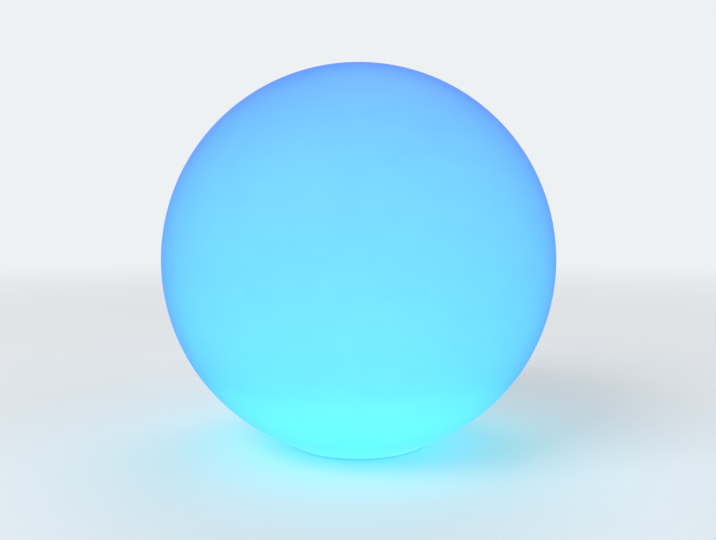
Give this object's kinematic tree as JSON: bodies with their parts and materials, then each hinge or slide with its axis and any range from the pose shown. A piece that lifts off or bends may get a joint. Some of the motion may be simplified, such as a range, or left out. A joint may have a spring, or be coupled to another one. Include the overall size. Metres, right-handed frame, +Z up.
{
  "type": "garden globe light",
  "caption": "Cordless glowing garden ball on a flat foot, with a sealed battery lamp core, push button, covered charging socket and folding hanging ring underneath.",
  "frame": {"origin": "centre of the foot ring, on the surface that the globe stands on", "axes": "+Z up through the top of the globe; the hanging ring folds towards +Y, the button and the charging socket lie towards -Y"},
  "size_m": [0.3, 0.2998, 0.2921],
  "materials": {
    "glowing_shell": "satin translucent polyethylene, lit from inside",
    "base_plastic": "fine moulded texture, white",
    "button_rubber": "smooth grey silicone over plastic",
    "grey_silicone": "matt silicone",
    "black_plastic": "satin moulded",
    "white_nylon": "smooth natural nylon",
    "stainless_steel": "satin",
    "brass": "machined",
    "aluminium": "anodised plate",
    "circuit_board": "green solder mask on glass fibre",
    "lamp_board": "white solder mask on aluminium",
    "lamp_window": "clear silicone over the chips",
    "frosted_dome": "frosted polycarbonate",
    "cell_sleeve": "shrink sleeve",
    "nickel": "plain strip",
    "ferrite": "sintered",
    "red_wire": "soft insulation",
    "black_wire": "soft insulation",
    "white_wire": "soft insulation",
    "clear_pipe": "clear acrylic"
  },
  "bodies": {
    "globe": {"globe_shell": "glowing_shell", "neck_inserts": "brass", "neck_gasket": "grey_silicone", "base_housing": "base_plastic", "base_screws": "stainless_steel", "button_seal": "grey_silicone", "switch_body": "black_plastic", "charge_socket": "black_plastic", "socket_pin": "nickel", "port_hinge_pin": "stainless_steel", "indicator_led": "lamp_window", "indicator_pipe": "clear_pipe", "ring_bracket": "stainless_steel", "bracket_screws": "stainless_steel", "control_board": "circuit_board", "board_screws": "stainless_steel", "controller_chip": "black_plastic", "driver_transistors": "black_plastic", "board_capacitors": "aluminium", "board_inductor": "ferrite", "board_resistors": "black_plastic", "battery_header": "white_nylon", "battery_plug": "white_nylon", "led_header": "white_nylon", "led_plug": "white_nylon", "battery_tray": "black_plastic", "tray_screws": "stainless_steel", "battery_cell": "cell_sleeve", "cell_tabs": "nickel", "battery_clamp": "black_plastic", "clamp_screws": "stainless_steel", "battery_lead_positive": "red_wire", "battery_lead_negative": "black_wire", "led_harness": "white_wire", "heat_spreader": "aluminium", "led_board": "lamp_board", "led_board_screws": "stainless_steel", "led_packages": "white_nylon", "led_windows": "lamp_window", "led_socket": "white_nylon", "diffuser_dome": "frosted_dome", "lid_screws": "stainless_steel"},
    "power_button": {"button_cap": "button_rubber", "button_clip": "stainless_steel", "switch_plunger": "white_nylon"},
    "port_cover": {"port_cover": "base_plastic", "port_plug": "grey_silicone"},
    "hang_ring": {"hang_ring": "stainless_steel"}
  },
  "joints": [
    {"name": "power_button_press", "type": "slide", "parent": "globe", "child": "power_button", "axis": [0, 0, 1], "range_m": [0, 0.0012], "stiffness_N_per_m": 1500, "springref_m": -0.0004},
    {"name": "port_cover_swing", "type": "hinge", "parent": "globe", "child": "port_cover", "pos_m": [0.013, -0.0065, 0.0046], "axis": [1, 0, 0], "range_deg": [0, 110]},
    {"name": "hang_ring_fold", "type": "hinge", "parent": "globe", "child": "hang_ring", "pos_m": [0, 0.005, 0.0042], "axis": [-1, 0, 0], "range_deg": [0, 100]}
  ]
}
